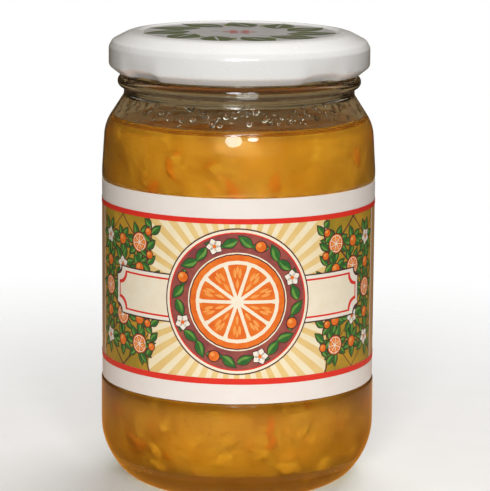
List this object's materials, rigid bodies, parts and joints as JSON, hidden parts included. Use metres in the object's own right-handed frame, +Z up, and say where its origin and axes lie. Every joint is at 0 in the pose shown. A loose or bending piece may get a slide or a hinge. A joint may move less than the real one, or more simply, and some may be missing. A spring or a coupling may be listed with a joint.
{
  "type": "marmalade jar",
  "caption": "Shut glass jar of orange marmalade with a white twist-off metal lid, a beaded neck, a round heel and a wrap-round paper label",
  "frame": {"origin": "centre of the jar's foot, on the surface that it stands on", "axes": "+Z up along the jar's axis, -Y towards the front of the label"},
  "size_m": [0.0754, 0.0754, 0.1247],
  "materials": {
    "glass": "clear",
    "marmalade": "clear amber jelly with peel",
    "paper": "printed paper",
    "lacquer": "glossy white lacquer"
  },
  "bodies": {
    "root": {"jar_glass": "glass", "marmalade": "marmalade", "label": "paper", "lid": "lacquer"}
  },
  "joints": []
}
